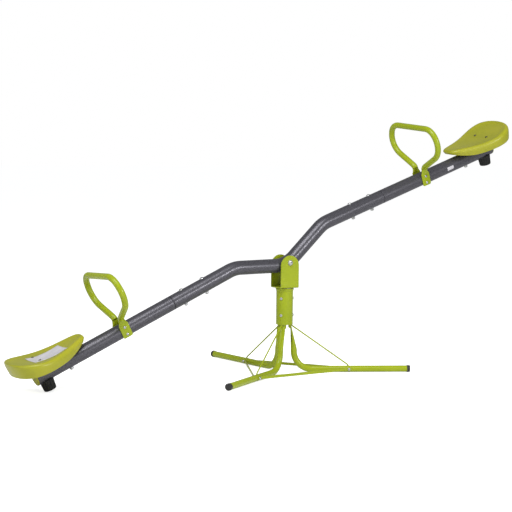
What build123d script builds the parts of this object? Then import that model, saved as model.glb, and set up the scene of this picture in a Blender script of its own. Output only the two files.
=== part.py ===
"""Swivelling seesaw for two children.

A three-leg steel base carries an upright post. A U-shaped head turns on the post
on a spindle and two nylon bushes. A three-piece beam tilts in that head on one
cross bolt and carries a handle, a seat and a rubber bumper at each end.

Frame: the origin is on the floor under the post, +Z is up and the beam lies along X.
The part is drawn at rest, with the -X seat down on its bumper.
All lengths are millimetres.
"""
import math
import os

from build123d import *

# ---------------------------------------------------------------- driving sizes
# Beam: one bent middle tube and two straight arms.
beam_diameter = 50.8
beam_wall = 2.0
vee_angle = 21.4
vee_leg = 216.0
vee_drop = 12.8
vee_bend_radius = 120.0
arm_droop = 2.1
joint_station = 275.0
joint_gap = 3.0
spigot_depth = 165.0
joint_bolt_inner = 135.0
joint_bolt_outer = 225.0
arm_length = 830.0

# Pivot and turning head.
pivot_height = 403.0
head_width = 70.4
head_plate = 3.5
head_length = 75.0
head_rise = 26.0
head_floor = 310.8
pivot_bolt_diameter = 10.0
running_clearance = 0.05
face_clearance = 0.3

# Post and its bearing.
post_diameter = 61.0
post_wall = 2.5
post_bottom = 177.0
post_top = 297.0
collar_top = 308.5
collar_flare = 3.2
spindle_diameter = 16.0
bush_wall = 2.5
housing_wall = 2.5
housing_bottom = 200.0
bush_flange = 2.0

# Legs.
leg_count = 3
leg_azimuth = -25.7
leg_diameter = 23.0
leg_wall = 1.5
leg_reach = 462.0
leg_bend_radius = 66.0
leg_knee_radius = 36.0
leg_top = 288.0
leg_flat_width = 30.0
leg_flat_thickness = 3.6
cap_diameter = 25.0
post_bolt_upper = 272.0
post_bolt_lower = 211.0

# Braces between legs and post, and tie bars between legs.
brace_diameter = 5.0
brace_station = 238.0
brace_tab = 2.0
tie_height = 10.0
tie_thickness = 2.5

# Turn of each arm's fittings about the arm, near side down when positive.
high_arm_turn = 5.7
low_arm_turn = 0.0
low_handle_turn = -3.2

# Handles.
handle_station = 481.0
handle_diameter = 22.0
handle_lean = 0.6
handle_half_width = 151.0
handle_top_half = 118.0
handle_height = 207.0
handle_waist = 48.0
handle_shoulder = 117.0
handle_plate_length = 36.0
handle_plate = 3.0
handle_bolt_spacing = 25.0

# Seats.
seat_front = 620.0
seat_length = 283.0
seat_width = 212.0
seat_nose_width = 82.0
seat_wall = 4.0
seat_edge = 12.0
seat_bolt_station = 700.0
seat_screw_station = 801.0
seat_screw_spacing = 66.0
seat_plate = 3.0

# Bumpers and end plugs.
bumper_station = 797.0
bumper_top_diameter = 50.0
bumper_foot_diameter = 43.0
bumper_foot = 57.0
bumper_edge = 3.0
floor_gap = 0.3
plug_depth = 22.0

# ---------------------------------------------------------------- derived sizes
beam_radius = beam_diameter / 2
beam_bore = beam_radius - beam_wall
bend_x = vee_leg * math.cos(math.radians(vee_angle))
bend_z = vee_leg * math.sin(math.radians(vee_angle)) - vee_drop
head_half = head_width / 2
head_inner = head_half - head_plate
post_radius = post_diameter / 2
post_bore = post_radius - post_wall
leg_radius = leg_diameter / 2
leg_height = cap_diameter / 2
spindle_radius = spindle_diameter / 2
bush_radius = spindle_radius + running_clearance + bush_wall
housing_radius = bush_radius + housing_wall
leg_flat_outer = post_bore - brace_tab - 0.15
leg_flat_inner = leg_flat_outer - leg_flat_thickness


def rest_tilt():
    """Tilt at which the low bumper's rounded rim stands just clear of the floor."""
    droop = math.radians(arm_droop)
    along = bumper_station + bumper_foot_diameter / 2 - bumper_edge
    down = bumper_edge - bumper_foot
    rim_x = bend_x + along * math.cos(droop) + down * math.sin(droop)
    rim_z = bend_z - along * math.sin(droop) + down * math.cos(droop)
    reach = math.hypot(rim_x, rim_z)
    lift = pivot_height - bumper_edge - floor_gap
    return math.degrees(math.asin(lift / reach) - math.atan2(-rim_z, rim_x))


tilt = rest_tilt()
beam_frame = Pos(0, 0, pivot_height) * Rot(0, -tilt, 0)
arm_frame = Pos(bend_x, 0, bend_z) * Rot(0, arm_droop, 0)


# ---------------------------------------------------------------- helpers
def save(name, *solids):
    """Write one node: a single solid, or a group of loose identical pieces."""
    pieces = []
    for item in solids:
        pieces.extend(item.solids())
    shape = pieces[0] if len(pieces) == 1 else Compound(children=pieces)
    shape.label = name
    export_step(shape, "parts/" + name + ".step")


def bent_path(points, radii):
    """Wire of straight runs joined by tangent arcs of the given radii."""
    corners = [Vector(*point) for point in points]
    edges = []
    start = corners[0]
    for index, radius in enumerate(radii, start=1):
        before = (corners[index - 1] - corners[index]).normalized()
        after = (corners[index + 1] - corners[index]).normalized()
        half = before.get_angle(after) / 2
        setback = radius / math.tan(math.radians(half))
        arc_start = corners[index] + before * setback
        arc_end = corners[index] + after * setback
        inward = (before + after).normalized()
        to_centre = radius / math.sin(math.radians(half))
        arc_middle = corners[index] + inward * (to_centre - radius)
        edges.append(Edge.make_line(start, arc_start))
        edges.append(Edge.make_three_point_arc(arc_start, arc_middle, arc_end))
        start = arc_end
    edges.append(Edge.make_line(start, corners[-1]))
    return Wire(edges)


def tube_along(path, outer_radius, inner_radius=0):
    """Round bar or tube swept along a wire."""
    section_plane = Plane(origin=path @ 0, z_dir=path % 0)
    tube = sweep(section_plane * Circle(outer_radius), path=path)
    if inner_radius > 0:
        tube = tube - sweep(section_plane * Circle(inner_radius), path=path)
    return tube


def rod(radius, start, end):
    """Straight round bar between two points."""
    start = Vector(*start)
    end = Vector(*end)
    run = end - start
    return extrude(Plane(origin=start, z_dir=run) * Circle(radius), run.length)


def along(origin, direction):
    """Location whose +Z runs along the direction, for fasteners drawn on Z."""
    return Plane(origin=origin, z_dir=direction).location


def dome_head(shank_radius, length):
    """Button-head bolt on Z: bearing face at zero, dome above, shank below."""
    head_radius = shank_radius * 1.75
    head_height = shank_radius * 1.1
    head = Cylinder(head_radius, head_height, align=(Align.CENTER, Align.CENTER, Align.MIN))
    top_edge = head.edges().filter_by(GeomType.CIRCLE).sort_by(Axis.Z)[-1]
    head = fillet(top_edge, head_height * 0.85)
    socket = extrude(Pos(0, 0, head_height) * RegularPolygon(shank_radius * 0.62, 6), -head_height * 0.55)
    shank = Cylinder(shank_radius, length, align=(Align.CENTER, Align.CENTER, Align.MAX))
    return head - socket + shank


def hex_nut(shank_radius, height, across_flats):
    """Plain nut on Z with its bearing face at zero and chamfered top corners."""
    body = extrude(RegularPolygon(across_flats / 2, 6, major_radius=False), height)
    cone = Cone(across_flats * 0.5 + height, across_flats * 0.5 - 0.2, height + 0.2)
    body = body & Pos(0, 0, height / 2 - 0.1) * cone
    return body - Cylinder(shank_radius, height * 3)


def washer(inner_radius, outer_radius, thickness):
    """Flat ring on Z with its lower face at zero."""
    ring = extrude(Circle(outer_radius) - Circle(inner_radius), thickness)
    return ring


def both_sides(shape):
    """The +X piece and its mirror image at the -X end."""
    return shape, mirror(shape, about=Plane.YZ)


def leg_turns():
    """The three legs' rotations about the post."""
    return [Rot(0, 0, leg_azimuth + turn * 360 / leg_count) for turn in range(leg_count)]


# ---------------------------------------------------------------- base
def ring_sector(inner, outer, width, low, high):
    """Upright curved strip that follows the inside of the post, centred on +X."""
    ring = extrude(Circle(outer) - Circle(inner), high - low)
    window = Pos(outer / 2 + 2, 0, (high - low) / 2) * Box(outer, width, (high - low) * 2)
    return Pos(0, 0, low) * (ring & window)


def make_leg():
    """Bent tube: flattened upper end inside the post, round from the knee out."""
    knee_height = leg_height + leg_bend_radius
    knee = (leg_knee_radius, 0, knee_height + 6)
    corner = (leg_knee_radius, 0, leg_height)
    end = (leg_reach, 0, leg_height)
    path = bent_path([knee, corner, end], [leg_bend_radius])
    outer = sweep(Plane(origin=knee, z_dir=(0, 0, -1)) * Circle(leg_radius), path=path)
    bore = sweep(Plane(origin=knee, z_dir=(0, 0, -1)) * Circle(leg_radius - leg_wall), path=path)
    flat_middle = (leg_flat_outer + leg_flat_inner) / 2
    low = Plane(origin=knee, z_dir=(0, 0, 1))
    high = Plane(origin=(flat_middle, 0, post_bottom - 8), z_dir=(0, 0, 1))
    flat = RectangleRounded(leg_flat_thickness, leg_flat_width, leg_flat_thickness * 0.45)
    neck = loft([low * Circle(leg_radius), high * flat])
    pinch = RectangleRounded(0.6, leg_flat_width - 3, 0.25)
    neck_bore = loft([low * Circle(leg_radius - leg_wall), high.offset(-6) * pinch])
    tongue = ring_sector(leg_flat_inner, leg_flat_outer, leg_flat_width, post_bottom - 14, leg_top)
    leg = outer + neck + tongue - bore - neck_bore
    for height in (post_bolt_upper, post_bolt_lower):
        leg = leg - rod(3.1, (0, 0, height), (post_radius, 0, height))
    leg = leg - rod(3.1, (brace_station, -20, leg_height), (brace_station, 20, leg_height))
    slot = Pos(brace_station + 1, 0, leg_height + leg_radius) * Box(20, brace_diameter + 1.5, leg_radius)
    return leg - slot


def make_cap():
    """Black plug that closes a leg and stands on the floor."""
    plug = Pos(leg_reach - 9, 0, leg_height) * Rot(0, 90, 0) * Cylinder(leg_radius - leg_wall, 18)
    flange = Pos(leg_reach + 1.6, 0, leg_height) * Rot(0, 90, 0) * Cylinder(cap_diameter / 2, 3.2)
    rim = flange.edges().filter_by(GeomType.CIRCLE).sort_by(Axis.X)[-1]
    flange = fillet(rim, 1.2)
    sleeve = Pos(leg_reach - 4, 0, leg_height) * Rot(0, 90, 0) * Cylinder(cap_diameter / 2, 8)
    skirt = sleeve - Pos(leg_reach - 4, 0, leg_height) * Rot(0, 90, 0) * Cylinder(leg_radius, 8)
    hollow = Pos(leg_reach - 11, 0, leg_height) * Rot(0, 90, 0) * Cylinder(leg_radius - leg_wall - 2, 15)
    return plug + flange + skirt - hollow


def make_brace():
    """Thin rod from the post wall to the leg, with a strap end above and an eye below."""
    strap_middle = post_bore - brace_tab / 2 - 0.05
    low = (brace_station + 2, 0, leg_height)
    bend = (brace_station - 3, 0, leg_height + leg_radius + 4)
    high = (strap_middle, 0, post_bottom - 4)
    top = (strap_middle, 0, post_bottom + 3)
    path = bent_path([low, bend, high, top], [9.0, 5.0])
    bar = tube_along(path, brace_diameter / 2)
    strap = ring_sector(post_bore - brace_tab - 0.1, post_bore - 0.05, 13, post_bottom + 1, post_bolt_lower + 9)
    bar = bar - Pos(0, 0, post_bottom + 10) * (Cylinder(post_bore * 2, 20) - Cylinder(post_bore - 0.05, 20))
    bar = bar - Pos(leg_flat_outer - 20 + 0.05, 0, post_bottom) * Box(40, 20, 36)
    eye = Pos(brace_station, 0, leg_height) * Rot(90, 0, 0) * Cylinder(6.5, brace_diameter)
    brace = bar + strap + eye
    brace = brace - rod(3.05, (brace_station, -20, leg_height), (brace_station, 20, leg_height))
    return brace - rod(3.1, (0, 0, post_bolt_lower), (post_radius, 0, post_bolt_lower))


def make_tie():
    """Flat bar from the first leg to the next, its bent ends flat on the tube sides."""
    spread = math.radians(360 / leg_count)
    side = leg_radius + tie_thickness / 2
    tab = 9.0
    near = Vector(brace_station, side, 0)
    lead = Vector(-1, 0, 0)
    far = Vector(math.cos(spread), math.sin(spread), 0) * brace_station
    far = far + Vector(math.sin(spread), -math.cos(spread), 0) * side
    far_lead = Vector(-math.cos(spread), -math.sin(spread), 0)
    points = [near - lead * tab, near + lead * tab, far + far_lead * tab, far - far_lead * tab]
    line = Polyline(*points)
    inner = offset(line, tie_thickness / 2, side=Side.BOTH)
    bar = extrude(make_face(inner), tie_height)
    bar = Pos(0, 0, leg_height - tie_height / 2) * bar
    hole = rod(3.1, (brace_station, 0, leg_height), (brace_station, 30, leg_height))
    far_hole = Rot(0, 0, 360 / leg_count) * rod(
        3.1, (brace_station, 0, leg_height), (brace_station, -30, leg_height)
    )
    return bar - hole - far_hole


def make_post():
    """Round sleeve that clamps the three flattened leg ends."""
    post = extrude(Pos(0, 0, post_bottom) * (Circle(post_radius) - Circle(post_bore)), post_top - post_bottom)
    for turn in leg_turns():
        for height in (post_bolt_upper, post_bolt_lower):
            post = post - turn * rod(3.1, (20, 0, height), (post_radius + 5, 0, height))
    return post


def make_collar():
    """Flared cap on the post with the long housing for the two bushes."""
    flare = Pos(0, 0, (post_top + collar_top) / 2) * Cone(
        post_radius, post_radius + collar_flare, collar_top - post_top
    )
    top_rim = flare.edges().filter_by(GeomType.CIRCLE).sort_by(Axis.Z)[-1]
    flare = fillet(top_rim, 1.5)
    spigot = extrude(Pos(0, 0, post_top) * Circle(post_bore - 0.1), -(post_top - leg_top - 2))
    housing = extrude(Pos(0, 0, housing_bottom) * Circle(housing_radius), collar_top - housing_bottom)
    bore = extrude(Pos(0, 0, housing_bottom) * Circle(bush_radius), collar_top - housing_bottom)
    return flare + spigot + housing - bore


def make_bush(flange_radius):
    """Flanged nylon bush on Z, flange above zero and body below."""
    body = extrude(Circle(bush_radius), -26)
    flange = extrude(Circle(flange_radius), bush_flange)
    return body + flange - Cylinder(spindle_radius + running_clearance, 80)


def build_base():
    """Legs, braces, post, bearing and all their fasteners."""
    leg = make_leg()
    cap = make_cap()
    brace = make_brace()
    tie = make_tie()
    turns = leg_turns()
    for number, turn in enumerate(turns, start=1):
        save("leg_" + str(number), turn * leg)
        save("leg_cap_" + str(number), turn * cap)
        save("brace_rod_" + str(number), turn * brace)
        save("tie_bar_" + str(number), turn * tie)
    save("post", make_post())
    save("collar", make_collar())
    save("upper_bush", Pos(0, 0, collar_top) * make_bush(26.0))
    save("lower_bush", Pos(0, 0, housing_bottom) * Rot(180, 0, 0) * make_bush(housing_radius))
    bolts = []
    nuts = []
    seat_face = leg_flat_inner - 0.8
    for turn in turns:
        for height in (post_bolt_upper, post_bolt_lower):
            head_spot = along((post_radius, 0, height), (1, 0, 0))
            bolt = head_spot * dome_head(3.0, post_radius - seat_face + 3.5)
            bolts.append(turn * bolt)
            nut_spot = along((seat_face, 0, height), (-1, 0, 0))
            nuts.append(turn * nut_spot * hex_nut(3.0, 3.2, 10.0))
    save("post_bolts", *bolts)
    save("post_nuts", *nuts)
    brace_bolts = []
    brace_nuts = []
    outside = leg_radius + tie_thickness
    for index, turn in enumerate(turns):
        facing = -1 if index == 0 else 1
        spot = along((brace_station, facing * outside, leg_height), (0, facing, 0))
        bolt = spot * dome_head(3.0, outside * 2 + 6)
        back = along((brace_station, -facing * outside, leg_height), (0, -facing, 0))
        brace_bolts.append(turn * bolt)
        brace_nuts.append(turn * back * hex_nut(3.0, 5.0, 10.0))
    save("brace_bolts", *brace_bolts)
    save("brace_nuts", *brace_nuts)


# ---------------------------------------------------------------- turning head
def make_head():
    """U-shaped bracket folded from plate, round-topped cheeks either side of the beam."""
    arch_centre = pivot_height + head_rise - head_length / 2
    cheek = Pos(0, 0, 0) * Plane.XZ * (
        Pos(0, (head_floor + arch_centre) / 2) * Rectangle(head_length, arch_centre - head_floor)
        + Pos(0, arch_centre) * Circle(head_length / 2)
    )
    block = extrude(cheek, head_half, both=True)
    fold = block.edges().filter_by(Axis.X).group_by(Axis.Z)[0]
    block = fillet(fold, head_plate + 1.5)
    cavity_floor = head_floor + head_plate
    cavity = Pos(0, 0, cavity_floor + 75) * Box(head_length * 2, head_inner * 2, 150)
    inner_fold = cavity.edges().filter_by(Axis.X).group_by(Axis.Z)[0]
    cavity = fillet(inner_fold, 1.5)
    head = block - cavity
    head = head - rod(pivot_bolt_diameter / 2 + 0.1, (0, -60, pivot_height), (0, 60, pivot_height))
    return head - Cylinder(spindle_radius + 0.05, 700)


def build_head():
    """Bracket, spindle and the cross bolt that carries the beam."""
    save("head_bracket", make_head())
    floor_top = head_floor + head_plate
    washer_top = housing_bottom - bush_flange - face_clearance
    shaft = extrude(Pos(0, 0, washer_top - 17) * Circle(spindle_radius), floor_top - washer_top + 17)
    boss = extrude(Pos(0, 0, floor_top) * Circle(19.0), 5.0)
    boss_rim = boss.edges().filter_by(GeomType.CIRCLE).sort_by(Axis.Z)[-1]
    boss = fillet(boss_rim, 2.0)
    save("spindle", shaft + boss)
    save("spindle_washer", Pos(0, 0, washer_top - 2.5) * washer(spindle_radius, 15.0, 2.5))
    nut = Pos(0, 0, washer_top - 2.5) * Rot(180, 0, 0) * hex_nut(spindle_radius, 12.0, 24.0)
    save("spindle_nut", nut)
    washer_face = head_half + 1.6
    bolt = along((0, -washer_face, pivot_height), (0, -1, 0)) * dome_head(
        pivot_bolt_diameter / 2, washer_face * 2 + 11
    )
    save("pivot_bolt", bolt)
    ring = washer(pivot_bolt_diameter / 2, 10.0, 1.6)
    front_ring = along((0, -head_half, pivot_height), (0, -1, 0)) * ring
    back_ring = along((0, head_half, pivot_height), (0, 1, 0)) * ring
    save("pivot_washers", front_ring, back_ring)
    lock = along((0, washer_face, pivot_height), (0, 1, 0)) * hex_nut(pivot_bolt_diameter / 2, 10.0, 17.0)
    save("pivot_nut", lock)


# ---------------------------------------------------------------- beam
sleeve_radius = 10.5
sleeve_bore = 8.0
sleeve_half = head_inner - face_clearance - 1.2


def make_centre_tube():
    """Middle tube bent like a gull's wing, with its straight ends bored for the arms."""
    droop = math.radians(arm_droop)
    end_x = bend_x + joint_station * math.cos(droop)
    end_z = bend_z - joint_station * math.sin(droop)
    points = [
        (-end_x, 0, end_z),
        (-bend_x, 0, bend_z),
        (0, 0, -vee_drop),
        (bend_x, 0, bend_z),
        (end_x, 0, end_z),
    ]
    path = bent_path(points, [vee_bend_radius] * 3)
    tube = tube_along(path, beam_radius, beam_bore)
    tube = tube - rod(sleeve_radius, (0, -40, 0), (0, 40, 0))
    for station in (joint_bolt_inner, joint_bolt_outer):
        hole = arm_frame * rod(4.1, (station, 0, -40), (station, 0, 40))
        for cut in both_sides(hole):
            tube = tube - cut
    return tube


def make_arm(arm_turn, handle_turn):
    """Straight tube with a reduced end that slides into the middle tube."""
    shoulder = joint_station + joint_gap
    body = rod(beam_radius, (shoulder, 0, 0), (arm_length, 0, 0))
    shoulder_rim = body.edges().filter_by(GeomType.CIRCLE).sort_by(Axis.X)[0]
    body = chamfer(shoulder_rim, 1.2)
    spigot = rod(beam_bore - 0.2, (joint_station - spigot_depth, 0, 0), (shoulder + 5, 0, 0))
    bore = rod(beam_bore - 0.2 - beam_wall, (0, 0, 0), (arm_length + 1, 0, 0))
    wide_bore = rod(beam_bore, (shoulder + 12, 0, 0), (arm_length + 1, 0, 0))
    arm = body + spigot - bore - wide_bore
    for station in (joint_bolt_inner, joint_bolt_outer):
        arm = arm - rod(4.1, (station, 0, -40), (station, 0, 40))
    for offset_z in (-handle_bolt_spacing / 2, handle_bolt_spacing / 2):
        across = handle_station + offset_z * math.sin(math.radians(handle_lean))
        height = offset_z * math.cos(math.radians(handle_lean))
        arm = arm - Rot(handle_turn, 0, 0) * rod(3.1, (across, -40, height), (across, 40, height))
    for station in (seat_bolt_station, bumper_station):
        arm = arm - Rot(arm_turn, 0, 0) * rod(4.1, (station, 0, -40), (station, 0, 40))
    return arm


def make_handle():
    """Bent tube loop with flattened ends that straddle the arm."""
    half_gap = beam_radius + handle_plate / 2
    grip = handle_diameter / 2
    lean = Pos(handle_station, 0, 0) * Rot(0, handle_lean, 0)
    foot = beam_radius + 3
    points = [
        (0, half_gap, foot + 12),
        (0, half_gap + 3, handle_waist),
        (0, handle_half_width, handle_shoulder),
        (0, handle_top_half, handle_height),
        (0, -handle_top_half, handle_height),
        (0, -handle_half_width, handle_shoulder),
        (0, -half_gap - 3, handle_waist),
        (0, -half_gap, foot + 12),
    ]
    radii = [22.0, 65.0, 52.0, 52.0, 65.0, 22.0]
    path = bent_path(points, radii)
    loop = tube_along(path, grip, grip - 1.5)
    bottom = -beam_radius + 2
    top = foot - 4
    for side in (1, -1):
        upper = Plane(origin=(0, side * half_gap, foot + 12), x_dir=(1, 0, 0), z_dir=(0, 0, 1))
        lower = Plane(origin=(0, side * half_gap, top - 3), x_dir=(1, 0, 0), z_dir=(0, 0, 1))
        pinched = RectangleRounded(handle_plate_length - 0.4, handle_plate - 0.1, 1.2)
        plate = Pos(0, side * half_gap, (bottom + top) / 2) * Box(
            handle_plate_length, handle_plate, top - bottom
        )
        corners = plate.edges().filter_by(Axis.Y).group_by(Axis.Z)[0]
        loop = loop + loft([lower * pinched, upper * Circle(grip)]) + fillet(corners, 5.0)
    tube_clear = Rot(0, -handle_lean, 0) * rod(beam_radius + 0.02, (-80, 0, 0), (80, 0, 0))
    loop = loop - tube_clear
    for offset_z in (-handle_bolt_spacing / 2, handle_bolt_spacing / 2):
        loop = loop - rod(3.1, (0, -60, offset_z), (0, 60, offset_z))
    return lean * loop


def seat_outline(inset):
    """Plan of the seat: narrow rounded nose, wide rear, drawn in the arm's XY plane."""
    half = seat_width / 2 - inset
    nose = seat_nose_width / 2 - inset
    front = seat_front + inset
    rear = seat_front + seat_length - inset
    run = rear - front
    points = [
        (front, 0),
        (front + run * 0.03, nose * 0.72),
        (front + run * 0.12, nose),
        (front + run * 0.30, nose + (half - nose) * 0.38),
        (front + run * 0.50, nose + (half - nose) * 0.74),
        (front + run * 0.68, half),
        (front + run * 0.86, half * 0.93),
        (rear - run * 0.035, half * 0.62),
        (rear, 0),
    ]
    lower = [(x, -y) for x, y in reversed(points[1:-1])]
    return make_face(Edge.make_spline([Vector(x, y, 0) for x, y in points + lower], periodic=True))


def seat_top_curve(drop):
    """Saddle-shaped top line of the seat, lowered by the given amount."""
    rear = seat_front + seat_length
    points = [
        (seat_front - 12, 0, 65 - drop),
        (seat_front + seat_length * 0.15, 0, 61 - drop),
        (seat_front + seat_length * 0.50, 0, 56 - drop),
        (seat_front + seat_length * 0.75, 0, 71 - drop),
        (rear + 12, 0, 103 - drop),
    ]
    return Edge.make_spline([Vector(*point) for point in points])


def seat_skirt_curve(drop):
    """Lower edge line of the seat's skirt."""
    rear = seat_front + seat_length
    points = [
        (seat_front - 12, 0, 46 - drop),
        (seat_front + seat_length * 0.20, 0, 21 - drop),
        (seat_front + seat_length * 0.50, 0, 17 - drop),
        (seat_front + seat_length * 0.75, 0, 24 - drop),
        (rear + 12, 0, 42 - drop),
    ]
    return Edge.make_spline([Vector(*point) for point in points])


def seat_slab(top_drop, skirt_drop):
    """Block between the top line and the skirt line, wide enough for the whole seat."""
    top = seat_top_curve(top_drop)
    low = seat_skirt_curve(skirt_drop)
    front = Edge.make_line(top @ 0, low @ 0)
    back = Edge.make_line(top @ 1, low @ 1)
    side = make_face(Wire([top, back, low, front]))
    return extrude(side, seat_width, both=True, dir=(0, 1, 0))


def make_seat():
    """Moulded seat: one thin skin with a deep skirt, ribs and two screw posts."""
    outer = extrude(seat_outline(0), 140) & seat_slab(0, 0)
    top_face = outer.faces().sort_by(Axis.Z)[-1]
    body = fillet(top_face.edges(), seat_edge)
    hollow = extrude(seat_outline(seat_wall), 140) & seat_slab(seat_wall, 60)
    lid = hollow.faces().sort_by(Axis.Z)[-1]
    hollow = fillet(lid.edges(), seat_edge - seat_wall)
    shell = body - hollow
    plate_top = beam_radius + seat_plate
    rib_low = plate_top
    ribs = None
    for y in (-14, 14):
        rib = Pos(seat_front + seat_length * 0.55, y, rib_low + 40) * Box(seat_length * 0.62, 3, 80)
        ribs = rib if ribs is None else ribs + rib
    for y in (-seat_screw_spacing / 2, seat_screw_spacing / 2):
        post = Pos(seat_screw_station, y, rib_low + 40) * Cylinder(9.0, 80)
        ribs = ribs + post
    web = Pos(seat_screw_station, 0, rib_low + 40) * Box(3, seat_screw_spacing, 80)
    web = web - rod(10.0, (bumper_station, 0, 0), (bumper_station, 0, beam_radius + 16))
    ribs = (ribs + web) & seat_slab(seat_wall / 2, 60)
    seat = shell + ribs
    for y in (-seat_screw_spacing / 2, seat_screw_spacing / 2):
        seat = seat - rod(3.1, (seat_screw_station, y, 0), (seat_screw_station, y, 150))
        top_here = seat_height(seat_screw_station)
        seat = seat - rod(6.2, (seat_screw_station, y, top_here - 4.5), (seat_screw_station, y, 150))
    well = rod(10.0, (seat_bolt_station, 0, 0), (seat_bolt_station, 0, beam_radius + 13))
    return seat - well


def seat_height(station):
    """Height of the seat's top line at a station along the arm."""
    curve = seat_top_curve(0)
    low = 0.0
    high = 1.0
    for _ in range(40):
        middle = (low + high) / 2
        if (curve @ middle).X < station:
            low = middle
        else:
            high = middle
    return (curve @ low).Z


def make_seat_plate():
    """Cross-shaped steel plate on top of the arm under the seat."""
    level = beam_radius + seat_plate / 2
    length = bumper_station + 14 - (seat_bolt_station - 16)
    strip = Pos(seat_bolt_station - 16 + length / 2, 0, level) * Box(length, 34, seat_plate)
    cross = Pos(seat_screw_station, 0, level) * Box(26, seat_screw_spacing + 22, seat_plate)
    plate = strip + cross
    plate = fillet(plate.edges().filter_by(Axis.Z), 4.0)
    for station in (seat_bolt_station, bumper_station):
        plate = plate - rod(4.1, (station, 0, 0), (station, 0, 60))
    for y in (-seat_screw_spacing / 2, seat_screw_spacing / 2):
        plate = plate - rod(3.1, (seat_screw_station, y, 0), (seat_screw_station, y, 60))
    return plate


def make_bumper():
    """Tapered ribbed rubber foot cupped to the underside of the arm."""
    cup = beam_radius * 0.72
    body = Pos(bumper_station, 0, -(bumper_foot + cup) / 2) * Cone(
        bumper_foot_diameter / 2, bumper_top_diameter / 2, bumper_foot - cup
    )
    foot_rim = body.edges().filter_by(GeomType.CIRCLE).sort_by(Axis.Z)[0]
    body = fillet(foot_rim, bumper_edge)
    body = body - rod(beam_radius, (bumper_station - 60, 0, 0), (bumper_station + 60, 0, 0))
    rib_count = 16
    for index in range(rib_count):
        turn = math.radians(index * 360 / rib_count)
        reach = bumper_top_diameter / 2 + 1.1
        groove = rod(
            2.2,
            (bumper_station + reach * math.cos(turn), reach * math.sin(turn), -12),
            (
                bumper_station + (reach - 3.4) * math.cos(turn),
                (reach - 3.4) * math.sin(turn),
                -bumper_foot + 7,
            ),
        )
        body = body - groove
    body = body - rod(4.1, (bumper_station, 0, 0), (bumper_station, 0, -bumper_foot - 1))
    return body - rod(9.0, (bumper_station, 0, -bumper_foot + 9), (bumper_station, 0, -bumper_foot - 1))


def make_plug():
    """Push-in plug with a shallow domed face."""
    core = rod(beam_bore, (arm_length - plug_depth, 0, 0), (arm_length, 0, 0))
    lip = rod(beam_radius, (arm_length, 0, 0), (arm_length + 4, 0, 0))
    rim = lip.edges().filter_by(GeomType.CIRCLE).sort_by(Axis.X)[-1]
    lip = fillet(rim, 3.2)
    hollow = rod(beam_bore - 2.5, (arm_length - plug_depth - 1, 0, 0), (arm_length - 2, 0, 0))
    return core + lip - hollow


def high_end(shape, turn=high_arm_turn):
    """Place an arm-mounted piece at the +X end, turned about the arm."""
    return beam_frame * (arm_frame * Rot(turn, 0, 0) * shape)


def low_end(shape, turn=low_arm_turn):
    """Place an arm-mounted piece at the -X end, turned about the arm."""
    return beam_frame * mirror(arm_frame * Rot(turn, 0, 0) * shape, about=Plane.YZ)


def save_pair(name, shape, low_turn=low_arm_turn):
    """Save an arm-mounted piece at both ends of the beam."""
    save(name + "_left", low_end(shape, low_turn))
    save(name + "_right", high_end(shape))


def save_sets(name, shapes, high_turn=high_arm_turn, low_turn=low_arm_turn):
    """Save matching loose pieces from both ends of the beam as one node."""
    pieces = []
    for shape in shapes:
        pieces.append(high_end(shape, high_turn))
        pieces.append(low_end(shape, low_turn))
    save(name, *pieces)


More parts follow.
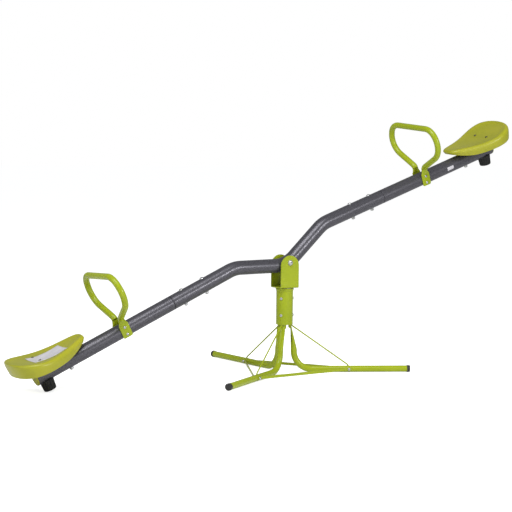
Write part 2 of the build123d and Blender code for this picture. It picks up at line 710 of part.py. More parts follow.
def build_beam():
    """Everything that tilts."""
    save("centre_tube", beam_frame * make_centre_tube())
    sleeve = rod(sleeve_radius, (0, -sleeve_half, 0), (0, sleeve_half, 0))
    sleeve = sleeve - rod(sleeve_bore, (0, -60, 0), (0, 60, 0))
    save("pivot_sleeve", beam_frame * sleeve)
    bushes = []
    for side in (1, -1):
        body = rod(sleeve_bore, (0, side * (sleeve_half - 16), 0), (0, side * sleeve_half, 0))
        flange = rod(sleeve_radius, (0, side * sleeve_half, 0), (0, side * (sleeve_half + 1.2), 0))
        hole = rod(pivot_bolt_diameter / 2 + running_clearance, (0, -60, 0), (0, 60, 0))
        bushes.append(beam_frame * (body + flange - hole))
    save("pivot_bushes", *bushes)
    save("arm_left", low_end(make_arm(low_arm_turn, low_handle_turn), 0))
    save("arm_right", high_end(make_arm(high_arm_turn, high_arm_turn), 0))
    save_pair("handle", make_handle(), low_handle_turn)
    save_pair("seat", make_seat())
    save_pair("seat_plate", make_seat_plate())
    save_pair("bumper", make_bumper())
    save_pair("end_plug", make_plug())
    joint_bolts = []
    joint_nuts = []
    for station in (joint_bolt_inner, joint_bolt_outer):
        joint_bolts.append(along((station, 0, beam_radius), (0, 0, 1)) * dome_head(4.0, beam_diameter + 9))
        joint_nuts.append(along((station, 0, -beam_radius), (0, 0, -1)) * hex_nut(4.0, 7.0, 13.0))
    save_sets("joint_bolts", joint_bolts, 0, 0)
    save_sets("joint_nuts", joint_nuts, 0, 0)
    handle_bolts = []
    handle_nuts = []
    outside = beam_radius + handle_plate
    for offset_z in (-handle_bolt_spacing / 2, handle_bolt_spacing / 2):
        across = handle_station + offset_z * math.sin(math.radians(handle_lean))
        height = offset_z * math.cos(math.radians(handle_lean))
        front = along((across, -outside, height), (0, -1, 0))
        back = along((across, outside, height), (0, 1, 0))
        handle_bolts.append(front * dome_head(3.0, outside * 2 + 7))
        handle_nuts.append(back * hex_nut(3.0, 6.0, 10.0))
    save_sets("handle_bolts", handle_bolts, low_turn=low_handle_turn)
    save_sets("handle_nuts", handle_nuts, low_turn=low_handle_turn)
    plate_top = beam_radius + seat_plate
    seat_bolt = along((seat_bolt_station, 0, plate_top), (0, 0, 1)) * dome_head(4.0, plate_top + beam_radius + 9)
    save_sets("seat_bolts", [seat_bolt])
    save_sets("seat_nuts", [along((seat_bolt_station, 0, -beam_radius), (0, 0, -1)) * hex_nut(4.0, 7.0, 13.0)])
    screws = []
    screw_nuts = []
    head_seat = seat_height(seat_screw_station) - 4.5
    for y in (-seat_screw_spacing / 2, seat_screw_spacing / 2):
        spot = along((seat_screw_station, y, head_seat), (0, 0, 1))
        screws.append(spot * dome_head(3.0, head_seat - beam_radius + 6.5))
        screw_nuts.append(along((seat_screw_station, y, beam_radius), (0, 0, -1)) * hex_nut(3.0, 5.0, 10.0))
    save_sets("seat_screws", screws)
    save_sets("seat_screw_nuts", screw_nuts)
    recess = -bumper_foot + 9
    bumper_bolt = along((bumper_station, 0, recess), (0, 0, -1)) * dome_head(4.0, plate_top - recess + 9)
    save_sets("bumper_bolts", [bumper_bolt])
    bumper_nut = along((bumper_station, 0, plate_top), (0, 0, 1)) * hex_nut(4.0, 7.0, 13.0)
    save_sets("bumper_nuts", [bumper_nut])
    save_labels()


def save_labels():
    """Two blank labels: one on the low seat, one on the high arm's near side."""
    top = seat_top_curve(0)
    lifted = seat_top_curve(-0.4)
    ends = Edge.make_line(top @ 0, lifted @ 0)
    other = Edge.make_line(top @ 1, lifted @ 1)
    band = extrude(make_face(Wire([top, other, lifted, ends])), 60, both=True, dir=(0, 1, 0))
    window = Pos(seat_front + seat_length * 0.51, -8, 80) * Box(122, 84, 120)
    save("seat_label", low_end(band & window))
    ring = rod(beam_radius + 0.3, (592, 0, 0), (622, 0, 0)) - rod(beam_radius, (580, 0, 0), (640, 0, 0))
    patch = ring & Pos(607, -beam_radius, -3) * Box(60, 20, 13)
    save("arm_label", high_end(patch, 0))


os.makedirs("parts", exist_ok=True)
build_base()
build_head()
build_beam()
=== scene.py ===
# Swivelling seesaw for two children: powder-coated steel tube, moulded seats, rubber bumpers.
import math

import bmesh
import bpy
from mathutils import Matrix, Vector
from mathutils.bvhtree import BVHTree


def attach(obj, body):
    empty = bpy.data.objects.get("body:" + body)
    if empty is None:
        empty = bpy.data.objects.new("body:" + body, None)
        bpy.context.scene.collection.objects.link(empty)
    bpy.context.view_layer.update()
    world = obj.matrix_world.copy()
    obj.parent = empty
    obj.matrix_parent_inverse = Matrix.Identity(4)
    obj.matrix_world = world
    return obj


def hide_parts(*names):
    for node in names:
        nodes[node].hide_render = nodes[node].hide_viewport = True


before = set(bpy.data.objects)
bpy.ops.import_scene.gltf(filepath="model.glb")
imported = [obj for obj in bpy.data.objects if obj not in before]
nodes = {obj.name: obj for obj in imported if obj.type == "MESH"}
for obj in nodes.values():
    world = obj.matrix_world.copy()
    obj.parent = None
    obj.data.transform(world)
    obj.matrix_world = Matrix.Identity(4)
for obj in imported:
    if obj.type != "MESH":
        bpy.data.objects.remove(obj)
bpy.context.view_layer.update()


# ---------------------------------------------------------------- studio
# A white paper floor runs back into a plain white surround. One soft panel stands at the right
# in front, where it draws a bright line along the low arm, and two wider, weaker ones fill in.
floor_sheet = bmesh.new()
bmesh.ops.create_grid(floor_sheet, x_segments=1, y_segments=1, size=60)
bmesh.ops.translate(floor_sheet, verts=floor_sheet.verts, vec=(0, 0, -0.0006))
floor_mesh = bpy.data.meshes.new("floor")
floor_sheet.to_mesh(floor_mesh)
floor_sheet.free()
floor = bpy.data.objects.new("floor", floor_mesh)
bpy.context.scene.collection.objects.link(floor)
paper = bpy.data.materials.new("studio_paper")
paper.use_nodes = True
paper_shader = paper.node_tree.nodes["Principled BSDF"]
paper_shader.inputs["Base Color"].default_value = (0.88, 0.88, 0.88, 1)
paper_shader.inputs["Roughness"].default_value = 1.0
paper_shader.inputs["Specular IOR Level"].default_value = 0.0
paper_shader.inputs["Emission Color"].default_value = (1, 1, 1, 1)
paper_seen = paper.node_tree.nodes.new("ShaderNodeLightPath")
paper_glow = paper.node_tree.nodes.new("ShaderNodeMapRange")
paper_glow.inputs["To Min"].default_value = 0.05
paper_glow.inputs["To Max"].default_value = 0.74
paper.node_tree.links.new(paper_seen.outputs["Is Camera Ray"], paper_glow.inputs["Value"])
paper.node_tree.links.new(paper_glow.outputs["Result"], paper_shader.inputs["Emission Strength"])
floor_mesh.materials.append(paper)

surround = bpy.data.worlds.new("surround")
bpy.context.scene.world = surround
surround.use_nodes = True
sky = surround.node_tree
backdrop = sky.nodes["Background"]
backdrop.inputs["Color"].default_value = (1, 1, 1, 1)
backdrop.inputs["Strength"].default_value = 1.0
room = sky.nodes.new("ShaderNodeBackground")
room.inputs["Color"].default_value = (0.97, 0.98, 1.0, 1)
room.inputs["Strength"].default_value = 0.30
seen = sky.nodes.new("ShaderNodeLightPath")
choose = sky.nodes.new("ShaderNodeMixShader")
sky.links.new(seen.outputs["Is Camera Ray"], choose.inputs["Fac"])
sky.links.new(room.outputs["Background"], choose.inputs[1])
sky.links.new(backdrop.outputs["Background"], choose.inputs[2])
sky.links.new(choose.outputs["Shader"], sky.nodes["World Output"].inputs["Surface"])


def soft_panel(name, place, aim, width, height, watts):
    """One rectangular soft light that faces the aim point."""
    panel = bpy.data.lights.new(name, "AREA")
    panel.shape = "RECTANGLE"
    panel.size = width
    panel.size_y = height
    panel.energy = watts
    lamp = bpy.data.objects.new(name, panel)
    lamp.location = place
    lamp.rotation_euler = (Vector(aim) - Vector(place)).to_track_quat("-Z", "Y").to_euler()
    bpy.context.scene.collection.objects.link(lamp)


soft_panel("front_panel", (1.3, -3.6, 1.35), (-0.4, 0, 0.3), 0.50, 0.8, 50)
soft_panel("top_panel", (-1.4, -1.8, 3.6), (0, 0, 0.3), 2.4, 2.0, 105)
soft_panel("left_panel", (-3.6, -0.6, 1.8), (0, 0, 0.4), 1.6, 1.6, 26)
bpy.context.scene.view_settings.view_transform = "Standard"

# The camera stands about five metres off, a little above the seats, with a long lens.
eye = Vector((-2.7954, -4.4510, 0.8063))
yaw, pitch, roll = math.radians(30.98), math.radians(4.16), math.radians(0.59)
forward = Vector((
    math.sin(yaw) * math.cos(pitch),
    math.cos(yaw) * math.cos(pitch),
    -math.sin(pitch),
))
level_right = Vector((math.cos(yaw), -math.sin(yaw), 0))
level_up = level_right.cross(forward)
right = level_right * math.cos(roll) + level_up * math.sin(roll)
up = level_up * math.cos(roll) - level_right * math.sin(roll)
lens = bpy.data.cameras.new("camera")
lens.sensor_width = 36
lens.lens = 102.21
camera = bpy.data.objects.new("camera", lens)
facing = Matrix((right, up, -forward)).transposed()
camera.matrix_world = Matrix.Translation(eye) @ facing.to_4x4()
bpy.context.scene.collection.objects.link(camera)
bpy.context.scene.camera = camera


# ---------------------------------------------------------------- legs, braces, post and collar
# Three bent steel tubes are flattened at the top and bolted inside the post; thin round bars
# brace them and flat bars tie them together. All of it is powder-coated in gloss lime: sprayed
# dry and baked, which leaves a faint orange-peel skin and a slightly uneven tone.
def new_group(name, inputs, outputs):
    """An empty shader node group with number inputs and the given outputs."""
    tree = bpy.data.node_groups.new(name, "ShaderNodeTree")
    for label, value in inputs:
        socket = tree.interface.new_socket(label, in_out="INPUT", socket_type="NodeSocketFloat")
        socket.default_value = value
    for label in outputs:
        tree.interface.new_socket(label, in_out="OUTPUT", socket_type="NodeSocketFloat")
    return tree, tree.nodes.new("NodeGroupInput"), tree.nodes.new("NodeGroupOutput")


def add_noise(tree, place, scale, detail):
    """A noise texture on the piece's own coordinates, its scale a number or a socket."""
    noise = tree.nodes.new("ShaderNodeTexNoise")
    noise.inputs["Detail"].default_value = detail
    tree.links.new(place, noise.inputs["Vector"])
    if isinstance(scale, (int, float)):
        noise.inputs["Scale"].default_value = scale
    else:
        tree.links.new(scale, noise.inputs["Scale"])
    return noise.outputs["Fac"]


def add_math(tree, operation, first, second):
    """One math node; each side is a number or a socket."""
    node = tree.nodes.new("ShaderNodeMath")
    node.operation = operation
    for socket, value in zip(node.inputs, (first, second)):
        if isinstance(value, (int, float)):
            socket.default_value = value
        else:
            tree.links.new(value, socket)
    return node.outputs["Value"]


def add_range(tree, value, low, high, to_low, to_high):
    """Stretch a value from one range to another, held at both ends."""
    node = tree.nodes.new("ShaderNodeMapRange")
    node.interpolation_type = "SMOOTHSTEP"
    tree.links.new(value, node.inputs["Value"])
    for label, number in (("From Min", low), ("From Max", high), ("To Min", to_low), ("To Max", to_high)):
        if isinstance(number, (int, float)):
            node.inputs[label].default_value = number
        else:
            tree.links.new(number, node.inputs[label])
    return node.outputs["Result"]


# Sprayed or moulded skin: close bumps with a longer, softer wave under them.
skin, skin_in, skin_out = new_group("fine_skin", [("Grain", 900.0), ("Wave", 0.5)], ["Height"])
skin_place = skin.nodes.new("ShaderNodeTexCoord").outputs["Object"]
skin_close = add_noise(skin, skin_place, skin_in.outputs["Grain"], 2.0)
skin_broad = add_noise(skin, skin_place, add_math(skin, "MULTIPLY", skin_in.outputs["Grain"], 0.22), 1.0)
skin_sum = add_math(skin, "ADD", skin_close, add_math(skin, "MULTIPLY", skin_broad, skin_in.outputs["Wave"]))
skin.links.new(skin_sum, skin_out.inputs["Height"])

# Slow drift of tone over the piece, with a trace of finer mottling.
drift, drift_in, drift_out = new_group("tone_drift", [("Scale", 9.0)], ["Mask"])
drift_place = drift.nodes.new("ShaderNodeTexCoord").outputs["Object"]
drift_slow = add_noise(drift, drift_place, drift_in.outputs["Scale"], 3.0)
drift_fine = add_noise(drift, drift_place, add_math(drift, "MULTIPLY", drift_in.outputs["Scale"], 14.0), 2.0)
drift_sum = add_math(drift, "ADD", drift_slow, add_math(drift, "MULTIPLY", drift_fine, 0.25))
drift.links.new(add_range(drift, drift_sum, 0.42, 0.82, 0.0, 1.0), drift_out.inputs["Mask"])

# Handling marks: short thin rubs that only dull the gloss, and a few deeper specks.
marks, marks_in, marks_out = new_group("handling_marks", [("Amount", 0.5)], ["Rub", "Speck"])
marks_place = marks.nodes.new("ShaderNodeTexCoord").outputs["Object"]
marks_turn = marks.nodes.new("ShaderNodeMapping")
marks_turn.inputs["Rotation"].default_value = (0.4, 0.9, 0.3)
marks_turn.inputs["Scale"].default_value = (1.0, 9.0, 9.0)
marks.links.new(marks_place, marks_turn.inputs["Vector"])
rub_noise = add_noise(marks, marks_turn.outputs["Vector"], 34.0, 3.0)
patch_noise = add_noise(marks, marks_place, 11.0, 1.0)
rub = add_math(marks, "MULTIPLY", add_range(marks, rub_noise, 0.60, 0.72, 0.0, 1.0),
               add_range(marks, patch_noise, 0.45, 0.65, 0.0, 1.0))
marks.links.new(add_math(marks, "MULTIPLY", rub, marks_in.outputs["Amount"]), marks_out.inputs["Rub"])
speck = add_range(marks, add_noise(marks, marks_place, 420.0, 1.0), 0.76, 0.80, 0.0, 1.0)
marks.links.new(add_math(marks, "MULTIPLY", speck, marks_in.outputs["Amount"]), marks_out.inputs["Speck"])


def place_group(tree, group, **values):
    """Put a node group into a material, with its own values."""
    node = tree.nodes.new("ShaderNodeGroup")
    node.node_tree = group
    for label, value in values.items():
        node.inputs[label].default_value = value
    return node.outputs


def blend_colours(tree, mask, first, second):
    """Mix two colours, each a colour or a socket, by a mask."""
    mix = tree.nodes.new("ShaderNodeMix")
    mix.data_type = "RGBA"
    tree.links.new(mask, mix.inputs["Factor"])
    for socket, colour in ((mix.inputs[6], first), (mix.inputs[7], second)):
        if isinstance(colour, tuple):
            socket.default_value = (*colour, 1)
        else:
            tree.links.new(colour, socket)
    return mix.outputs[2]


def add_bump(tree, shader, height, strength, distance):
    """Raise the surface by a height, in metres of distance, and feed the shader's normal."""
    bump = tree.nodes.new("ShaderNodeBump")
    bump.inputs["Strength"].default_value = strength
    bump.inputs["Distance"].default_value = distance
    tree.links.new(height, bump.inputs["Height"])
    tree.links.new(bump.outputs["Normal"], shader.inputs["Normal"])


def new_material(name):
    """A material with its node tree and its main shader."""
    material = bpy.data.materials.new(name)
    material.use_nodes = True
    return material, material.node_tree, material.node_tree.nodes["Principled BSDF"]


def coat_nodes(material, *names):
    """Give a finish to pieces whose shape is already right."""
    for name in names:
        slots = nodes[name].data.materials
        slots.clear()
        slots.append(material)
        for face in nodes[name].data.polygons:
            face.material_index = 0


lime_coat, tree, shader = new_material("lime_powder_coat")
tone = place_group(tree, drift, Scale=7.0)["Mask"]
rubs = place_group(tree, marks, Amount=0.6)
fresh = blend_colours(tree, tone, (0.300, 0.372, 0.006), (0.350, 0.420, 0.009))
tree.links.new(blend_colours(tree, rubs["Speck"], fresh, (0.22, 0.28, 0.02)), shader.inputs["Base Color"])
tree.links.new(add_range(tree, rubs["Rub"], 0.0, 1.0, 0.27, 0.42), shader.inputs["Roughness"])
shader.inputs["Specular IOR Level"].default_value = 0.38
add_bump(tree, shader, place_group(tree, skin, Grain=620.0, Wave=0.9)["Height"], 0.35, 0.00035)
coat_nodes(lime_coat, "leg_1", "leg_2", "leg_3", "brace_rod_1", "brace_rod_2", "brace_rod_3")
coat_nodes(lime_coat, "tie_bar_1", "tie_bar_2", "tie_bar_3", "post", "collar")


# ---------------------------------------------------------------- leg caps
# Push-on caps of soft black polyethylene close the open ends of the legs and stand on the
# floor. Their skin is finely grained, with a little dust in patches.
cap_plastic, tree, shader = new_material("black_cap_plastic")
dust = place_group(tree, drift, Scale=60.0)["Mask"]
cap_tone = blend_colours(tree, dust, (0.012, 0.012, 0.013), (0.028, 0.027, 0.025))
tree.links.new(cap_tone, shader.inputs["Base Color"])
tree.links.new(add_range(tree, dust, 0.0, 1.0, 0.42, 0.58), shader.inputs["Roughness"])
add_bump(tree, shader, place_group(tree, skin, Grain=2600.0, Wave=0.3)["Height"], 0.4, 0.0001)
coat_nodes(cap_plastic, "leg_cap_1", "leg_cap_2", "leg_cap_3")


# ---------------------------------------------------------------- bolts, nuts and washers
# Plain bright zinc plate on pressed and turned steel. The plating is a touch blue-grey, with
# duller patches where a spanner or the tumbling barrel has been.
zinc, tree, shader = new_material("bright_zinc_plate")
patch = place_group(tree, drift, Scale=120.0)["Mask"]
rubs = place_group(tree, marks, Amount=0.8)
zinc_tone = blend_colours(tree, patch, (0.66, 0.67, 0.68), (0.50, 0.50, 0.49))
tree.links.new(zinc_tone, shader.inputs["Base Color"])
zinc_dull = add_math(tree, "ADD", add_range(tree, patch, 0.0, 1.0, 0.22, 0.36),
                     add_math(tree, "MULTIPLY", rubs["Rub"], 0.15))
tree.links.new(zinc_dull, shader.inputs["Roughness"])
shader.inputs["Metallic"].default_value = 1.0
add_bump(tree, shader, place_group(tree, skin, Grain=3800.0, Wave=0.6)["Height"], 0.25, 0.00006)
coat_nodes(zinc, "post_bolts", "post_nuts", "brace_bolts", "brace_nuts")
coat_nodes(zinc, "spindle_washer", "spindle_nut", "pivot_bolt", "pivot_washers", "pivot_nut")
coat_nodes(zinc, "joint_bolts", "joint_nuts", "handle_bolts", "handle_nuts")
coat_nodes(zinc, "seat_bolts", "seat_nuts", "seat_screw_nuts")
coat_nodes(zinc, "bumper_bolts", "bumper_nuts")


# ---------------------------------------------------------------- bearings
# The head turns on a steel spindle and the beam on a steel sleeve, both turned and oiled, in
# flanged bushes moulded from natural nylon.
turned_steel, tree, shader = new_material("turned_steel")
steel_place = tree.nodes.new("ShaderNodeTexCoord").outputs["Object"]
cut_lines = tree.nodes.new("ShaderNodeTexWave")
cut_lines.bands_direction = "Z"
cut_lines.inputs["Scale"].default_value = 900.0
cut_lines.inputs["Distortion"].default_value = 1.5
tree.links.new(steel_place, cut_lines.inputs["Vector"])
steel_tone = blend_colours(tree, cut_lines.outputs["Fac"], (0.36, 0.36, 0.36), (0.48, 0.48, 0.49))
tree.links.new(steel_tone, shader.inputs["Base Color"])
tree.links.new(add_range(tree, cut_lines.outputs["Fac"], 0.0, 1.0, 0.24, 0.34), shader.inputs["Roughness"])
shader.inputs["Metallic"].default_value = 1.0
add_bump(tree, shader, cut_lines.outputs["Fac"], 0.2, 0.00003)
coat_nodes(turned_steel, "spindle", "pivot_sleeve")

nylon, tree, shader = new_material("natural_nylon")
cloud = place_group(tree, drift, Scale=45.0)["Mask"]
nylon_tone = blend_colours(tree, cloud, (0.74, 0.72, 0.64), (0.66, 0.64, 0.55))
tree.links.new(nylon_tone, shader.inputs["Base Color"])
tree.links.new(add_range(tree, cloud, 0.0, 1.0, 0.34, 0.44), shader.inputs["Roughness"])
add_bump(tree, shader, place_group(tree, skin, Grain=1800.0, Wave=0.4)["Height"], 0.25, 0.0001)
coat_nodes(nylon, "upper_bush", "lower_bush", "pivot_bushes")


# ---------------------------------------------------------------- turning head
# A U-shaped bracket of bent steel plate stands on the spindle and holds the beam's cross bolt.
# It has the same baked lime coat as the base.
coat_nodes(lime_coat, "head_bracket")


# ---------------------------------------------------------------- beam tubes
# A bent middle tube and two straight arms, all in a dark grey hammered coat: a metallic paint
# that draws into small dished cells as it dries, darker in the cells and bright on their rims.
hammered, tree, shader = new_material("hammered_grey_coat")
tube_place = tree.nodes.new("ShaderNodeTexCoord").outputs["Object"]
warp = tree.nodes.new("ShaderNodeTexNoise")
warp.inputs["Scale"].default_value = 150.0
tree.links.new(tube_place, warp.inputs["Vector"])
stir = tree.nodes.new("ShaderNodeVectorMath")
stir.operation = "MULTIPLY_ADD"
stir.inputs[1].default_value = (0.004, 0.004, 0.004)
tree.links.new(warp.outputs["Color"], stir.inputs[0])
tree.links.new(tube_place, stir.inputs[2])
cells = tree.nodes.new("ShaderNodeTexVoronoi")
cells.feature = "SMOOTH_F1"
cells.inputs["Scale"].default_value = 230.0
cells.inputs["Smoothness"].default_value = 0.35
tree.links.new(stir.outputs["Vector"], cells.inputs["Vector"])
rim = add_range(tree, cells.outputs["Distance"], 0.18, 0.62, 0.0, 1.0)
flake = add_range(tree, add_noise(tree, tube_place, 1900.0, 2.0), 0.40, 0.70, 0.0, 1.0)
tone = place_group(tree, drift, Scale=6.0)["Mask"]
rubs = place_group(tree, marks, Amount=0.5)
dark = blend_colours(tree, tone, (0.040, 0.039, 0.046), (0.052, 0.051, 0.059))
cell_colour = blend_colours(tree, rim, dark, (0.088, 0.086, 0.100))
flake_mask = add_math(tree, "MULTIPLY", flake, 0.35)
tree.links.new(blend_colours(tree, flake_mask, cell_colour, (0.17, 0.165, 0.19)), shader.inputs["Base Color"])
grey_dull = add_math(tree, "ADD", add_range(tree, rim, 0.0, 1.0, 0.40, 0.30),
                     add_math(tree, "MULTIPLY", rubs["Rub"], 0.12))
tree.links.new(grey_dull, shader.inputs["Roughness"])
shader.inputs["Metallic"].default_value = 0.45
add_bump(tree, shader, rim, 0.35, 0.0003)
coat_nodes(hammered, "centre_tube", "arm_left", "arm_right", "seat_plate_left", "seat_plate_right")


# ---------------------------------------------------------------- handles
# Each handle is one lime-coated tube bent into a loop, its ends flattened and bolted through
# the arm. The coat is the same as on the base.
coat_nodes(lime_coat, "handle_left", "handle_right")


# ---------------------------------------------------------------- bumpers and end plugs
# Ribbed rubber feet under the arm ends take the landing. Their bloom is slightly uneven.
# Domed lime plugs close the tube ends.
rubber, tree, shader = new_material("black_rubber")
bloom = place_group(tree, drift, Scale=75.0)["Mask"]
rubber_tone = blend_colours(tree, bloom, (0.008, 0.008, 0.009), (0.020, 0.020, 0.019))
tree.links.new(rubber_tone, shader.inputs["Base Color"])
tree.links.new(add_range(tree, bloom, 0.0, 1.0, 0.45, 0.66), shader.inputs["Roughness"])
shader.inputs["Specular IOR Level"].default_value = 0.3
add_bump(tree, shader, place_group(tree, skin, Grain=2100.0, Wave=0.5)["Height"], 0.5, 0.00012)
coat_nodes(rubber, "bumper_left", "bumper_right")


# ---------------------------------------------------------------- seats
# A saddle-shaped seat blown in lime polyethylene: narrow rounded nose, wide dished rear with a
# raised tail, a soft rolled edge and a deep skirt drawn in a little at its foot. Two screws
# hold it to the cross plate, through posts that stand between moulded ribs.
moulded, tree, shader = new_material("moulded_lime_plastic")
tone = place_group(tree, drift, Scale=12.0)["Mask"]
rubs = place_group(tree, marks, Amount=0.7)
fresh = blend_colours(tree, tone, (0.350, 0.358, 0.012), (0.398, 0.392, 0.018))
tree.links.new(blend_colours(tree, rubs["Speck"], fresh, (0.25, 0.29, 0.03)), shader.inputs["Base Color"])
tree.links.new(add_range(tree, rubs["Rub"], 0.0, 1.0, 0.33, 0.48), shader.inputs["Roughness"])
shader.inputs["Specular IOR Level"].default_value = 0.45
add_bump(tree, shader, place_group(tree, skin, Grain=1500.0, Wave=1.2)["Height"], 0.3, 0.00018)
coat_nodes(moulded, "end_plug_left", "end_plug_right")

seat_front = 0.620
seat_length = 0.283
seat_half = 0.106
nose_half = 0.041
seat_wall = 0.004
edge_radius = 0.013
dish_depth = 0.0055
screw_station = 0.801
screw_half = 0.033
plate_top = 0.0284
end_margin = 0.984
rib_thickness = 0.0025

# Half of the plan, nose to tail: share of the length, half width.
spread = seat_half - nose_half
plan = [
    (0.0, 0.0), (0.012, nose_half * 0.80), (0.10, nose_half * 1.14), (0.30, nose_half + spread * 0.42),
    (0.50, nose_half + spread * 0.75), (0.68, seat_half), (0.86, seat_half * 0.95),
    (0.970, seat_half * 0.64), (1.0, 0.0),
]
top_line = [
    (-0.042, 0.063), (0.11, 0.0612), (0.30, 0.0565), (0.50, 0.056),
    (0.68, 0.064), (0.85, 0.0795), (1.042, 0.0945),
]
foot_line = [
    (-0.042, 0.049), (0.08, 0.037), (0.19, 0.021), (0.32, 0.017),
    (0.60, 0.021), (0.85, 0.029), (1.042, 0.043),
]


def read_line(line, share):
    """Height on a smooth line through the given points."""
    last = len(line) - 2
    step = max(i for i in range(last + 1) if i == 0 or line[i][0] <= share)
    left, right_end = line[step], line[step + 1]
    before, after = line[max(step - 1, 0)], line[min(step + 2, last + 1)]
    span = right_end[0] - left[0]
    slope_in = (right_end[1] - before[1]) / (right_end[0] - before[0]) * span
    slope_out = (after[1] - left[1]) / (after[0] - left[0]) * span
    t = (share - left[0]) / span
    return (
        left[1] * (2 * t ** 3 - 3 * t ** 2 + 1) + slope_in * (t ** 3 - 2 * t ** 2 + t)
        + right_end[1] * (3 * t ** 2 - 2 * t ** 3) + slope_out * (t ** 3 - t ** 2)
    )


def seat_top(station, across):
    """Height of the dished top at a point of the plan."""
    share = (station - seat_front) / seat_length
    half = max(0.02, read_line(plan, min(max(share, 0.0), 1.0)) - edge_radius)
    hollow = max(0.0, 1 - (across / half) ** 2) * min(1.0, half / 0.06)
    return read_line(top_line, share) - dish_depth * hollow


pivot_height = 0.403
pivot_over_tube = 0.0128
bend_reach = 0.216
tilt, droop, vee = math.radians(22.2017), math.radians(2.1), math.radians(21.4)
high_arm_turn = 5.7


def arm_place(side, turn):
    """From one arm's own axes (out along the arm, across, up) to the standing seesaw."""
    bend = Vector((bend_reach * math.cos(vee), 0, bend_reach * math.sin(vee) - pivot_over_tube))
    beam = Matrix.Translation((0, 0, pivot_height)) @ Matrix.Rotation(-tilt, 4, "Y")
    mirror = Matrix.Diagonal((side, 1, 1, 1))
    roll_about_arm = Matrix.Rotation(math.radians(turn), 4, "X")
    arm = Matrix.Translation(bend) @ Matrix.Rotation(droop, 4, "Y") @ roll_about_arm
    return beam @ mirror @ arm


def link_piece(name, shape, material):
    """Turn a finished bmesh into a smooth-shaded piece that rides on the beam."""
    mesh = bpy.data.meshes.new(name)
    shape.to_mesh(mesh)
    shape.free()
    mesh.materials.append(material)
    for face in mesh.polygons:
        face.use_smooth = True
    piece = bpy.data.objects.new(name, mesh)
    bpy.context.scene.collection.objects.link(piece)
    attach(piece, "beam")
    return piece


def make_seat(name, node, side, turn):
    """Grow the shell ring by ring from its foot, over the edge and in to the middle of the top."""
    outline = plan + [(s, -w) for s, w in reversed(plan[1:-1])]
    shell = bmesh.new()
    ring = bmesh.ops.create_circle(shell, segments=len(outline), radius=0.1)["verts"]
    ring.sort(key=lambda vert: math.atan2(vert.co.y, -vert.co.x) % (2 * math.pi))
    loose = shell.edges[:]

    def shape_ring(verts, inset, height):
        """Lay a ring on the plan, drawn in by the inset, at a height read from its station."""
        for vert, (share, across) in zip(verts, outline):
            reach = seat_length / 2 - inset * 0.5
            station = seat_front + seat_length / 2 + (share - 0.5) * 2 * reach * end_margin
            half = across - math.copysign(min(inset, abs(across) * 0.95), across) if across else 0
            vert.co = (station, half, height(share, station, half))

    def next_ring(verts, edges, inset, height):
        """Extrude the open edge once and shape the new ring."""
        new = bmesh.ops.extrude_edge_only(shell, edges=edges)["geom"]
        new_edges = [item for item in new if isinstance(item, bmesh.types.BMEdge)]
        grown = []
        for vert in verts:
            for edge in vert.link_edges:
                other = edge.other_vert(vert)
                if other in new and other not in verts:
                    grown.append(other)
        new_edges = [edge for edge in new_edges if all(v in grown for v in edge.verts)]
        shape_ring(grown, inset, height)
        return grown, new_edges

    top = lambda share: read_line(top_line, share)
    foot = lambda share: read_line(foot_line, share)
    shape_ring(ring, 0.006, lambda share, station, half: foot(share))
    ring, loose = next_ring(ring, loose, 0.0045, lambda share, station, half: foot(share) + 0.006)
    wall = lambda share: top(share) * 0.6 + foot(share) * 0.4 - 0.004
    ring, loose = next_ring(ring, loose, 0.001, lambda share, station, half: wall(share))
    ring, loose = next_ring(ring, loose, 0.0, lambda share, station, half: top(share) - 0.010)
    ring, loose = next_ring(ring, loose, 0.0035, lambda share, station, half: top(share) - 0.0025)
    ring, loose = next_ring(ring, loose, 0.012, lambda share, station, half: top(share) + 0.0005)
    ring, loose = next_ring(ring, loose, 0.026, lambda share, station, half: seat_top(station, half) - 0.001)
    ring, loose = next_ring(ring, loose, 0.050, lambda share, station, half: seat_top(station, half))
    ring, loose = next_ring(ring, loose, 0.078, lambda share, station, half: seat_top(station, half))
    for vert in ring:
        vert.co.y = 0.0
        vert.co.z = seat_top(vert.co.x, 0.0)
    bmesh.ops.remove_doubles(shell, verts=ring, dist=0.0005)
    bmesh.ops.recalc_face_normals(shell, faces=shell.faces)
    if max(shell.faces, key=lambda face: face.calc_center_median().z).normal.z < 0:
        bmesh.ops.reverse_faces(shell, faces=shell.faces)
    bmesh.ops.transform(shell, matrix=arm_place(side, turn), verts=shell.verts)
    if side < 0:
        bmesh.ops.reverse_faces(shell, faces=shell.faces)
    seat = link_piece(name, shell, moulded)
    thick = seat.modifiers.new("wall", "SOLIDIFY")
    thick.thickness = seat_wall
    thick.offset = -1
    smooth = seat.modifiers.new("smooth", "SUBSURF")
    smooth.levels = 3
    smooth.render_levels = 3
    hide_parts(node)
    return seat


seat_low = make_seat("seat_low_end", "seat_left", -1, 0.0)
make_seat("seat_high_end", "seat_right", 1, high_arm_turn)


# The screws are of browned steel, dull from the bath.
browned, tree, shader = new_material("browned_screw_steel")
stain = place_group(tree, drift, Scale=160.0)["Mask"]
screw_tone = blend_colours(tree, stain, (0.10, 0.095, 0.06), (0.19, 0.18, 0.13))
tree.links.new(screw_tone, shader.inputs["Base Color"])
tree.links.new(add_range(tree, stain, 0.0, 1.0, 0.36, 0.55), shader.inputs["Roughness"])
shader.inputs["Metallic"].default_value = 0.9
add_bump(tree, shader, place_group(tree, skin, Grain=3600.0, Wave=0.5)["Height"], 0.25, 0.00006)
coat_nodes(browned, "seat_screws")


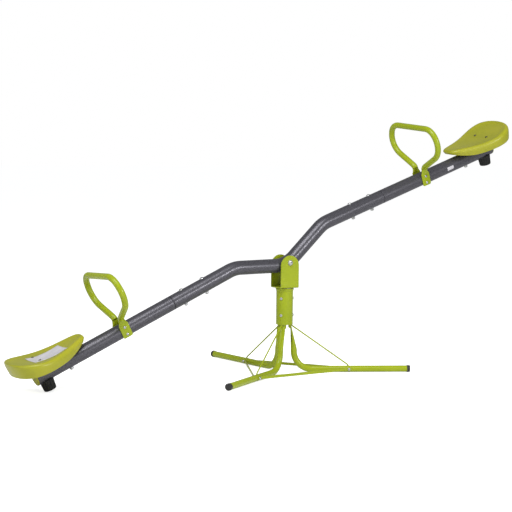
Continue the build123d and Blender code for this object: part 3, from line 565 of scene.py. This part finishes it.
# Two long ribs, a cross web and two screw posts are moulded under the top.
def make_ribs(name, side, turn):
    """Upright webs and posts whose tops are sunk a little into the seat's skin."""
    ribs = bmesh.new()
    rib_start, rib_end = seat_front + seat_length * 0.24, seat_front + seat_length * 0.86
    for across in (-0.014, 0.014):
        web = bmesh.ops.create_grid(ribs, x_segments=14, y_segments=1, size=0.5)["verts"]
        for vert in web:
            station = rib_start + (vert.co.x + 0.5) * (rib_end - rib_start)
            high = seat_top(station, across) - seat_wall * 0.6
            vert.co = (station, across, high if vert.co.y > 0 else plate_top + 0.0004)
    web = bmesh.ops.create_grid(ribs, x_segments=12, y_segments=1, size=0.5)["verts"]
    for vert in web:
        across = vert.co.x * 2 * screw_half
        station = screw_station + 0.014
        high = seat_top(station, across) - seat_wall * 0.6
        vert.co = (station, across, high if vert.co.y > 0 else plate_top + 0.0004)
    bmesh.ops.solidify(ribs, geom=ribs.faces[:], thickness=rib_thickness)
    for across in (-screw_half, screw_half):
        high = seat_top(screw_station, across) - seat_wall * 0.6
        middle = (high + plate_top + 0.0004) / 2
        spot = Matrix.Translation((screw_station, across, middle))
        bmesh.ops.create_cone(
            ribs, cap_ends=True, segments=32, radius1=0.008, radius2=0.009,
            depth=high - plate_top - 0.0004, matrix=spot,
        )
    bmesh.ops.recalc_face_normals(ribs, faces=ribs.faces)
    bmesh.ops.transform(ribs, matrix=arm_place(side, turn), verts=ribs.verts)
    if side < 0:
        bmesh.ops.reverse_faces(ribs, faces=ribs.faces)
    piece = link_piece(name, ribs, moulded)
    for face in piece.data.polygons:
        face.use_smooth = False
    return piece


make_ribs("seat_ribs_low_end", -1, 0.0)
make_ribs("seat_ribs_high_end", 1, high_arm_turn)


# ---------------------------------------------------------------- labels
# Blank white vinyl, slightly glossy: one large label laid over the low seat's top and a small
# one on the near side of the high arm. The large one follows the seat and lifts at one corner.
vinyl, tree, shader = new_material("white_label_vinyl")
film_tone = place_group(tree, drift, Scale=26.0)["Mask"]
film_colour = blend_colours(tree, film_tone, (0.60, 0.585, 0.62), (0.66, 0.645, 0.675))
tree.links.new(film_colour, shader.inputs["Base Color"])
tree.links.new(add_range(tree, film_tone, 0.0, 1.0, 0.38, 0.50), shader.inputs["Roughness"])
add_bump(tree, shader, place_group(tree, drift, Scale=55.0)["Mask"], 0.25, 0.0004)
coat_nodes(vinyl, "arm_label")

label_start, label_end = 0.703, 0.825
label_near, label_far = -0.050, 0.034
seat_place = arm_place(-1, 0.0)
bpy.context.view_layer.update()
seat_skin = BVHTree.FromObject(seat_low, bpy.context.evaluated_depsgraph_get())
label = bmesh.new()
sheet = bmesh.ops.create_grid(label, x_segments=24, y_segments=16, size=0.5)["verts"]
down = (seat_place.to_3x3() @ Vector((0, 0, -1))).normalized()
for vert in sheet:
    station = label_start + (vert.co.x + 0.5) * (label_end - label_start)
    across = label_near + (vert.co.y + 0.5) * (label_far - label_near)
    above = seat_place @ Vector((station, across, 0.16))
    hit = seat_skin.ray_cast(above, down)[0]
    curl = max(0.0, vert.co.x + vert.co.y - 0.72) * 0.010
    vert.co = hit - down * (0.0004 + curl)
bmesh.ops.recalc_face_normals(label, faces=label.faces)
for face in label.faces:
    if face.normal.dot(down) > 0:
        face.normal_flip()
large_label = link_piece("seat_label_film", label, vinyl)
film = large_label.modifiers.new("film", "SOLIDIFY")
film.thickness = 0.00025
film.offset = 1
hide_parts("seat_label")
